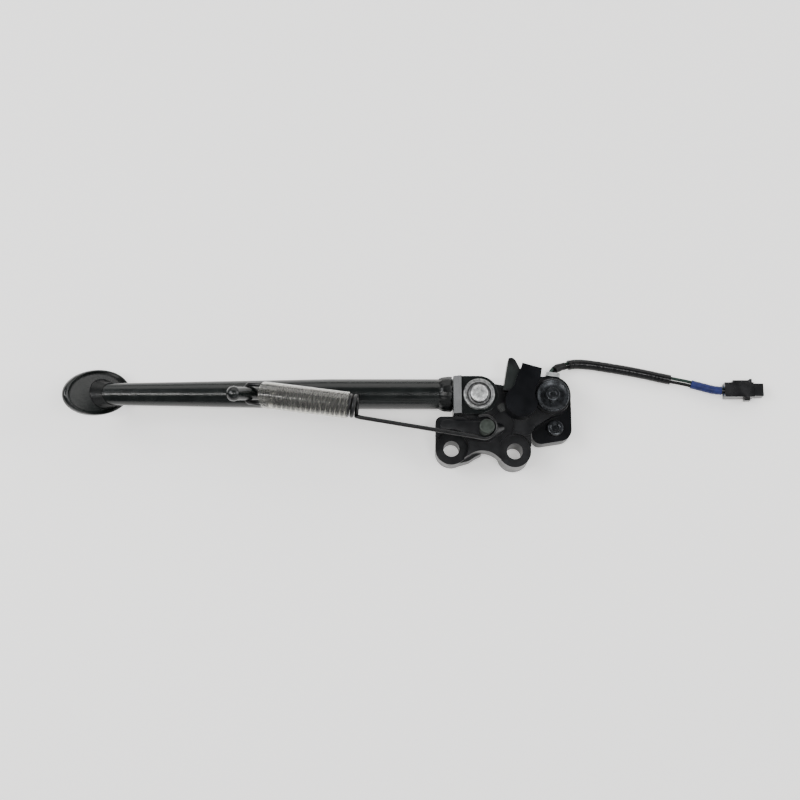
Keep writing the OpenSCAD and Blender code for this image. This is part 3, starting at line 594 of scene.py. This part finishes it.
# %% Spring post
POST_AT = Vector((-151.65, 34.1, 35.0))
POST_LEAN, POST_SPLAY = math.radians(-45), math.radians(10)
POST_R = 4.4
post_turn = Matrix.Rotation(POST_LEAN, 4, "Y") @ Matrix.Rotation(POST_SPLAY, 4, "X")
post_bm = lathe([(0, -12.4), (5.8, -12.4), (5.2, -10.4), (4.7, -8.6), (POST_R, -7), (4.35, 0),
                 (POST_R, 11.6), (4.6, 12.2), (4.95, 13.6), (4.9, 14.8), (4.5, 16.1), (3.7, 17.3),
                 (2.6, 18.2), (1.2, 18.8), (0, 18.9)], steps=48)
bmesh.ops.transform(post_bm, verts=post_bm.verts,
                    matrix=Matrix.Translation(POST_AT * MM) @ post_turn)
adopt("spring_post_pin", post_bm, "leg", leg_paint, "spring_post", sharp=60)

# %% [markdown]
# ## Return spring
# Seventeen close turns of wire, a hook that grips the post, and a long straight arm that hooks round
# the bracket's pin. A path worked out turn by turn is given a round bevel and made a mesh, which takes
# the place of the CAD spring.

# %% Return spring
SPRING_Z = 39.0
SPRING_SLOPE = math.radians(-7.2)
COIL_START = Vector((-136.5, 31.4, SPRING_Z))
COIL_R, WIRE_R = 6.5, 1.4
COIL_LENGTH, COIL_TURNS = 55.0, 17
COIL_STEPS = 28
HOOK_GAP = 0.3
PIN_AT, PIN_R = Vector((1.2, 10.7, SPRING_Z)), 4
POST_HOOK_R = POST_R + WIRE_R + HOOK_GAP
PIN_HOOK_R = 7.2
spring_along = Vector((math.cos(SPRING_SLOPE), math.sin(SPRING_SLOPE), 0))
spring_across = Vector((-spring_along.y, spring_along.x, 0))


def spring_point(a, b, c):
    """A point a along the coil's axis, b across it on the level and c above it, in mm."""
    return COIL_START + spring_along * a + spring_across * b + Vector((0, 0, c))


def arc_point(radius, degrees):
    """A point on a circle about the origin, on the level."""
    return radius * Vector((math.cos(math.radians(degrees)), math.sin(math.radians(degrees)), 0))


path = [spring_point(-0.6 - WIRE_R, -COIL_R, 0), spring_point(-8, -COIL_R + 0.2, -0.2)]
path += [POST_AT + post_turn @ arc_point(POST_HOOK_R, a) for a in range(270, 89, -10)]
path += [spring_point(-8, COIL_R - 0.2, -0.2), spring_point(-2.5, COIL_R, 0)]
turns = COIL_TURNS + 0.5
steps = int(turns * COIL_STEPS)
for i in range(steps + 1):
    angle = 2 * math.pi * turns * i / steps
    along = COIL_LENGTH * i / steps
    path.append(spring_point(along, COIL_R * math.cos(angle), -COIL_R * math.sin(angle)))
path.append(spring_point(COIL_LENGTH + 2.6, -COIL_R - 0.4, -0.2))
hook_centre = PIN_AT + Vector((PIN_R + HOOK_GAP + WIRE_R - PIN_HOOK_R, 0.4, 0))
path += [hook_centre + arc_point(PIN_HOOK_R, a) for a in range(-100, 119, 7)]
spring_curve = cord_curve("spring_path", path, WIRE_R, wire_paint, sides=4)
finished_curve = spring_curve.evaluated_get(bpy.context.evaluated_depsgraph_get())
spring_mesh = bpy.data.meshes.new_from_object(finished_curve)
bpy.data.objects.remove(spring_curve)
spring = bpy.data.objects.new("return_spring_wire", spring_mesh)
bpy.context.scene.collection.objects.link(spring)
spring_mesh.shade_smooth()
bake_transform(spring)
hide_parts("return_spring")
print("spring faces:", len(spring_mesh.polygons))

# %% [markdown]
# ## Clear sleeve
# A thin vinyl tube keeps the spring quiet and clean. Vinyl is clear but not perfect: it is a little
# wavy, and its faces carry long bright streaks. A thin wall with a low-roughness transmission shader
# shows both.

# %% Clear sleeve
vinyl, vinyl_nodes, vinyl_links, vinyl_shader = node_material("clear_vinyl")
vinyl_shader.inputs["Base Color"].default_value = (0.86, 0.85, 0.80, 1)
vinyl_shader.inputs["Roughness"].default_value = 0.16
vinyl_shader.inputs["IOR"].default_value = 1.45
vinyl_shader.inputs["Transmission Weight"].default_value = 0.975
vinyl_place = vinyl_nodes.new("ShaderNodeTexCoord")
vinyl_wave = vinyl_nodes.new("ShaderNodeTexNoise")
vinyl_wave.inputs["Scale"].default_value = 1 / (5 * MM)
vinyl_wave.inputs["Detail"].default_value = 2
vinyl_relief = vinyl_nodes.new("ShaderNodeBump")
vinyl_relief.inputs["Strength"].default_value = 0.35
vinyl_relief.inputs["Distance"].default_value = 0.0003
vinyl_links.new(vinyl_place.outputs["Object"], vinyl_wave.inputs["Vector"])
vinyl_links.new(vinyl_wave.outputs["Fac"], vinyl_relief.inputs["Height"])
vinyl_links.new(vinyl_relief.outputs["Normal"], vinyl_shader.inputs["Normal"])

SLEEVE_START, SLEEVE_LENGTH = -9.0, 58.0
SLEEVE_SLANT = math.tan(math.radians(22))
SLEEVE_IN, SLEEVE_OUT = 8.2, 8.75
SLEEVE_RINGS = 28
SLANT_FADE = 24
SWELLS_PER_MM, SWELL_SHARE = 0.11, 0.012
ring_heights = [SLEEVE_LENGTH * i / SLEEVE_RINGS for i in range(SLEEVE_RINGS + 1)]
sleeve_profile = [(SLEEVE_OUT, z) for z in ring_heights]
sleeve_profile += [(SLEEVE_IN, z) for z in reversed(ring_heights)]
sleeve_bm = lathe(sleeve_profile + [sleeve_profile[0]], steps=72)
for v in sleeve_bm.verts:
    squeeze = 1 - SWELL_SHARE * abs(noise.noise(v.co / MM * SWELLS_PER_MM + Vector((5, 2, 0))))
    v.co.x *= squeeze
    v.co.y *= squeeze
    v.co.z += max(0, 1 - v.co.z / (SLANT_FADE * MM)) * SLEEVE_SLANT * (v.co.x + SLEEVE_OUT * MM)
sleeve_turn = Matrix.Rotation(SPRING_SLOPE, 4, "Z") @ Matrix.Rotation(math.pi / 2, 4, "Y")
bmesh.ops.transform(sleeve_bm, verts=sleeve_bm.verts,
                    matrix=Matrix.Translation(spring_point(SLEEVE_START, 0, 0) * MM) @ sleeve_turn)
adopt("spring_sleeve_vinyl", sleeve_bm, "sleeve", vinyl, "spring_sleeve")

# %% [markdown]
# ## Pivot bolt
# The bolt's face is the only bright thing on the stand. Its flange and its crown are worn zinc, with a
# dark groove between them that is old paint with painted shade, and a thin ring of painted shade at
# the crown's edge and at the flange's inner edge. Turned profiles come from the lathe, and the rings'
# colours follow the distance from the bolt's own axis.

# %% Pivot bolt
PIVOT = Vector((-3, 34.3, 0)) * MM
RING_REACH = 12
CENTRE_TONE, RIM_TONE = (0.50, 0.51, 0.50, 1), (0.24, 0.25, 0.245, 1)
# The stops at 0.485 and 0.62 are thin rings of painted shade at the crown's and the flange's edges; the
# groove between them is dark paint with painted shade.
RING_TONES_AND_SHADE = ((0.46, 0.58), (0.485, 0.02), (0.50, 0.13), (0.60, 0.11), (0.62, 0.015), (0.645, 0.24))
bolt_metal, bolt_nodes, bolt_links, bolt_shader = node_material("worn_zinc")
bolt_place = bolt_nodes.new("ShaderNodeTexCoord")
bolt_centre = bolt_nodes.new("ShaderNodeMapping")
bolt_centre.inputs["Location"].default_value = (-PIVOT.x, -PIVOT.y, 0)
bolt_centre.inputs["Scale"].default_value = (1, 1, 0)
bolt_reach = bolt_nodes.new("ShaderNodeVectorMath")
bolt_reach.operation = "LENGTH"
bolt_ring = bolt_nodes.new("ShaderNodeValToRGB")
bolt_scale = bolt_nodes.new("ShaderNodeMath")
bolt_scale.operation = "MULTIPLY"
bolt_scale.inputs[1].default_value = 1 / (RING_REACH * MM)
ring = bolt_ring.color_ramp
ring.elements[0].position = 0.0
ring.elements[0].color = CENTRE_TONE
ring.elements[1].position = 1.0
ring.elements[1].color = RIM_TONE
for share, shade in RING_TONES_AND_SHADE:
    stop = ring.elements.new(share)
    stop.color = (shade, shade, shade, 1)
bolt_stain = bolt_nodes.new("ShaderNodeTexNoise")
bolt_stain.inputs["Scale"].default_value = 1 / (2.2 * MM)
bolt_stain.inputs["Detail"].default_value = 6
bolt_stain.inputs["Roughness"].default_value = 0.7
bolt_dirt = bolt_nodes.new("ShaderNodeMapRange")
bolt_dirt.inputs["From Min"].default_value = 0.35
bolt_dirt.inputs["From Max"].default_value = 0.60
bolt_dirt.inputs["To Min"].default_value = 0.35
bolt_dirt.inputs["To Max"].default_value = 1.15
bolt_tone = bolt_nodes.new("ShaderNodeMix")
bolt_tone.data_type = "RGBA"
bolt_tone.blend_type = "MULTIPLY"
bolt_tone.inputs["Factor"].default_value = 1
bolt_relief = bolt_nodes.new("ShaderNodeBump")
bolt_relief.inputs["Strength"].default_value = 0.7
bolt_relief.inputs["Distance"].default_value = 0.00025
bolt_links.new(bolt_place.outputs["Object"], bolt_centre.inputs["Vector"])
bolt_links.new(bolt_centre.outputs["Vector"], bolt_reach.inputs[0])
bolt_links.new(bolt_reach.outputs["Value"], bolt_scale.inputs[0])
bolt_links.new(bolt_scale.outputs["Value"], bolt_ring.inputs["Fac"])
bolt_links.new(bolt_place.outputs["Object"], bolt_stain.inputs["Vector"])
bolt_links.new(bolt_stain.outputs["Fac"], bolt_dirt.inputs["Value"])
bolt_links.new(bolt_ring.outputs["Color"], bolt_tone.inputs[6])
bolt_links.new(bolt_dirt.outputs["Result"], bolt_tone.inputs[7])
bolt_links.new(bolt_tone.outputs[2], bolt_shader.inputs["Base Color"])
bolt_links.new(bolt_stain.outputs["Fac"], bolt_relief.inputs["Height"])
bolt_links.new(bolt_relief.outputs["Normal"], bolt_shader.inputs["Normal"])
bolt_shader.inputs["Metallic"].default_value = 0.85
bolt_shader.inputs["Roughness"].default_value = 0.38

bolt_bm = lathe([(0, 0.2), (4.3, 0.2), (4.9, 0.8), (4.9, 6.7), (6, 6.7), (6, 31.3), (10.1, 31.3),
                 (10.5, 31.7), (10.5, 32.4), (10.2, 33.0), (9.5, 33.4), (8.4, 33.5), (7.9, 33.3),
                 (7.5, 32.7), (6.6, 32.6), (6.0, 33.0), (5.9, 34.8), (5.6, 35.4), (4.9, 35.75),
                 (2.5, 35.8), (0, 35.8)], PIVOT, steps=96)
adopt("pivot_bolt_worn", bolt_bm, "bracket", bolt_metal, "pivot_bolt", sharp=45)

# %% [markdown]
# ## Turned small parts
# The spring pin, the dished washer and the two socket screws are lathe work as well. A hexagon
# socket is inset into a screw's face and pushed down.

# %% Turned small parts
pin_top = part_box("spring_pin")[1][2] / MM
pin_bm = lathe([(0, 11), (3.5, 11), (3.5, 28.5), (PIN_R, 28.6), (PIN_R, pin_top - 2.2),
                (4.6, pin_top - 2.2), (4.85, pin_top - 1.9), (4.85, pin_top - 0.6),
                (4.6, pin_top - 0.15), (4.1, pin_top), (0, pin_top)],
               Vector((PIN_AT.x, PIN_AT.y, 0)) * MM, steps=48)
adopt("spring_pin_head", pin_bm, "bracket", pin_plate, "spring_pin", sharp=45)

BOSS_AT = Vector((45.4, 34.7, 0)) * MM
washer_bm = lathe([(3.2, 26.05), (11.0, 26.05), (11.1, 26.3), (11.1, 27.4), (10.9, 27.8), (10.3, 28.05),
                   (9.6, 27.9), (8.2, 27.3), (6.8, 27.1), (5.2, 27.05), (3.2, 27.05), (3.2, 26.05)],
                  BOSS_AT, steps=72)
adopt("dished_washer_turned", washer_bm, "bracket", oxide, "dished_washer", sharp=45)


def socket_screw(name, node, centre, low, head_from, head_to, head_r, shank_r, socket_r, depth):
    """A cap screw with a hexagon socket: a round body and a six-sided recess in its face."""
    bm = lathe([(0, low), (shank_r - 0.4, low), (shank_r, low + 0.4), (shank_r, head_from),
                (head_r - 0.1, head_from), (head_r, head_from + 0.2), (head_r, head_to - 0.7),
                (head_r - 0.25, head_to - 0.2), (head_r - 0.8, head_to), (socket_r + 0.55, head_to),
                (socket_r + 0.2, head_to - 0.3)], steps=48)
    rim = [e for e in bm.edges if e.is_boundary and e.verts[0].co.z > (head_to - 0.5) * MM]
    pushed = bmesh.ops.extrude_edge_only(bm, edges=rim)
    for v in only(bmesh.types.BMVert, pushed["geom"]):
        angle = math.atan2(v.co.y, v.co.x)
        sector = (angle % (math.pi / 3)) - math.pi / 6
        reach = socket_r * math.cos(math.pi / 6) / math.cos(sector) * MM
        v.co = Vector((reach * math.cos(angle), reach * math.sin(angle), (head_to - 0.45) * MM))
    wall = [e for e in only(bmesh.types.BMEdge, pushed["geom"]) if e.is_boundary]
    deep = bmesh.ops.extrude_edge_only(bm, edges=wall)
    bottom = only(bmesh.types.BMVert, deep["geom"])
    bottom_rim = [e for e in only(bmesh.types.BMEdge, deep["geom"]) if e.is_boundary]
    bmesh.ops.translate(bm, verts=bottom, vec=(0, 0, -depth * MM))
    bmesh.ops.contextual_create(bm, geom=bottom_rim)
    bmesh.ops.recalc_face_normals(bm, faces=bm.faces)
    bmesh.ops.translate(bm, verts=bm.verts, vec=centre)
    adopt(name, bm, "bracket", oxide, node, sharp=35)


HOUSING_SCREW_AT = Vector((47.7, 14.6, 0)) * MM
socket_screw("boss_screw_cap", "boss_screw", BOSS_AT, low=13, head_from=27.1, head_to=31.2,
             head_r=4.6, shank_r=2.4, socket_r=2.3, depth=2.2)
socket_screw("housing_screw_cap", "housing_screw", HOUSING_SCREW_AT, low=4.5, head_from=15,
             head_to=20.4, head_r=5.2, shank_r=2.45, socket_r=2.95, depth=2.8)

# %% [markdown]
# ## Inside and behind
# The bush, seals, plunger and contacts are mostly hidden, but the far side shows a few of them. They
# keep their CAD solids and take a real finish. The plunger's small spring is a copy with its points
# merged.

# %% Inside and behind
for node, coat in (("pivot_bush", brass), ("pivot_seals", rubber), ("switch_contacts", brass),
                   ("plunger_boot", rubber), ("switch_plunger", nylon_pale), ("contact_bridge", brass)):
    holder = frame["nodes"][node]
    holder.data.materials.clear()
    holder.data.materials.append(coat)

small_bm = bmesh.new()
small_bm.from_mesh(frame["nodes"]["plunger_spring"].data)
bmesh.ops.remove_doubles(small_bm, verts=small_bm.verts, dist=CAD_MERGE)
small_spring = adopt("plunger_spring_coil", small_bm, "bracket", zinc, "plunger_spring")
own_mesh(small_spring)
print("small spring faces:", len(small_spring.data.polygons))
